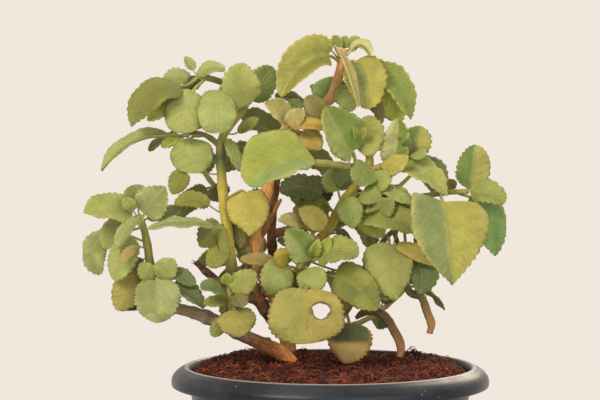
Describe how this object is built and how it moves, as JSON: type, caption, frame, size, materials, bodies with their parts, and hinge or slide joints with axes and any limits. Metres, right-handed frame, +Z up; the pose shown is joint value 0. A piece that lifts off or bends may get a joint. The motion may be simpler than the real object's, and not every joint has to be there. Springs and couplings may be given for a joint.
{
  "type": "potted herb",
  "caption": "Bushy potted herb with woody stems and round, scalloped, felted leaves, standing in coir in a round black nursery pot.",
  "frame": {"origin": "middle of the pot's flat underside, on the pot's axis", "axes": "+Z up along the pot's axis, -Y towards the side that the picture shows, +X to that view's right"},
  "size_m": [0.2679, 0.2, 0.3781],
  "materials": {
    "pot_plastic": "satin gloss, dusty along the rim",
    "coir": "loose, matt, fibrous",
    "bark": "matt, flaking",
    "old_bark": "matt, weathered",
    "leaf": "felted, soft sheen"
  },
  "bodies": {
    "root": {"low_branch": "old_bark", "pot": "pot_plastic", "shoot_back_left": "leaf", "shoot_back_low_left": "leaf", "shoot_back_low_right": "leaf", "shoot_back_right": "leaf", "shoot_back_top": "leaf", "shoot_centre": "leaf", "shoot_crown": "leaf", "shoot_far_right": "leaf", "shoot_left": "leaf", "shoot_low_front": "leaf", "shoot_low_right": "leaf", "shoot_right": "leaf", "shoot_upper_left": "leaf", "soil": "coir", "trunk": "bark"}
  },
  "joints": []
}
